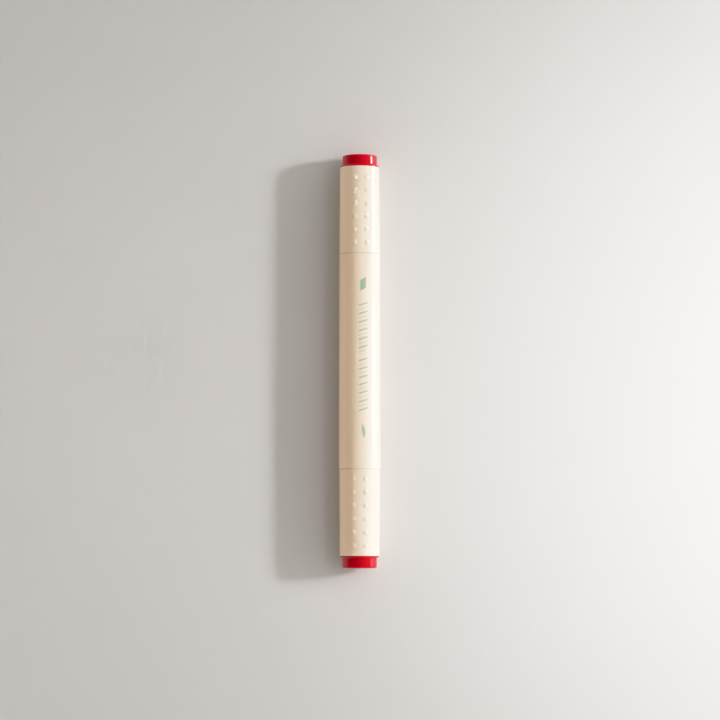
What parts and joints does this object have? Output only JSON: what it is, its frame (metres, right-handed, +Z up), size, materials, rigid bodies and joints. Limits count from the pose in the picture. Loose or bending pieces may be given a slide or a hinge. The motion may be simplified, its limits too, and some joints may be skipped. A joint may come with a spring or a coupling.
{
  "type": "twin-tip calligraphy marker",
  "caption": "Capped felt marker with a chisel nib at one end and a brush nib at the other, lying on its side, with caps that pull off and turn.",
  "frame": {"origin": "on the table directly under the middle of the marker, where the wider end of the barrel rests", "axes": "+Y along the marker towards the chisel end, +Z up through the printed side, +X across"},
  "size_m": [0.015, 0.148, 0.0149],
  "materials": {
    "cream_plastic": "satin moulded",
    "mint_ink": "pad printed ink",
    "red_plastic": "gloss moulded",
    "natural_plastic": "natural moulded",
    "nib_fibre": "bonded fibre wet with red ink",
    "reservoir_fibre": "fibre wet with red ink",
    "wrap_film": "clear film"
  },
  "bodies": {
    "barrel": {"barrel": "cream_plastic", "printed_marks": "mint_ink", "chisel_nib_section": "natural_plastic", "chisel_nib": "nib_fibre", "brush_nib_section": "natural_plastic", "brush_nib": "nib_fibre", "ink_reservoir": "reservoir_fibre", "reservoir_wrap": "wrap_film"},
    "chisel_seal": {"chisel_seal_cup": "natural_plastic"},
    "chisel_cap": {"chisel_cap": "cream_plastic", "chisel_end_plug": "red_plastic"},
    "brush_seal": {"brush_seal_cup": "natural_plastic"},
    "brush_cap": {"brush_cap": "cream_plastic", "brush_end_plug": "red_plastic"}
  },
  "joints": [
    {"name": "chisel_cap_pull", "type": "slide", "parent": "barrel", "child": "chisel_seal", "axis": [0, 1, 0], "range_m": [0, 0.035]},
    {"name": "chisel_cap_turn", "type": "hinge", "parent": "chisel_seal", "child": "chisel_cap", "pos_m": [0, 0.054, 0.00745], "axis": [0, 1, 0], "continuous": true},
    {"name": "brush_cap_pull", "type": "slide", "parent": "barrel", "child": "brush_seal", "axis": [0, -1, 0], "range_m": [0, 0.035]},
    {"name": "brush_cap_turn", "type": "hinge", "parent": "brush_seal", "child": "brush_cap", "pos_m": [0, -0.054, 0.00745], "axis": [0, -1, 0], "continuous": true}
  ]
}
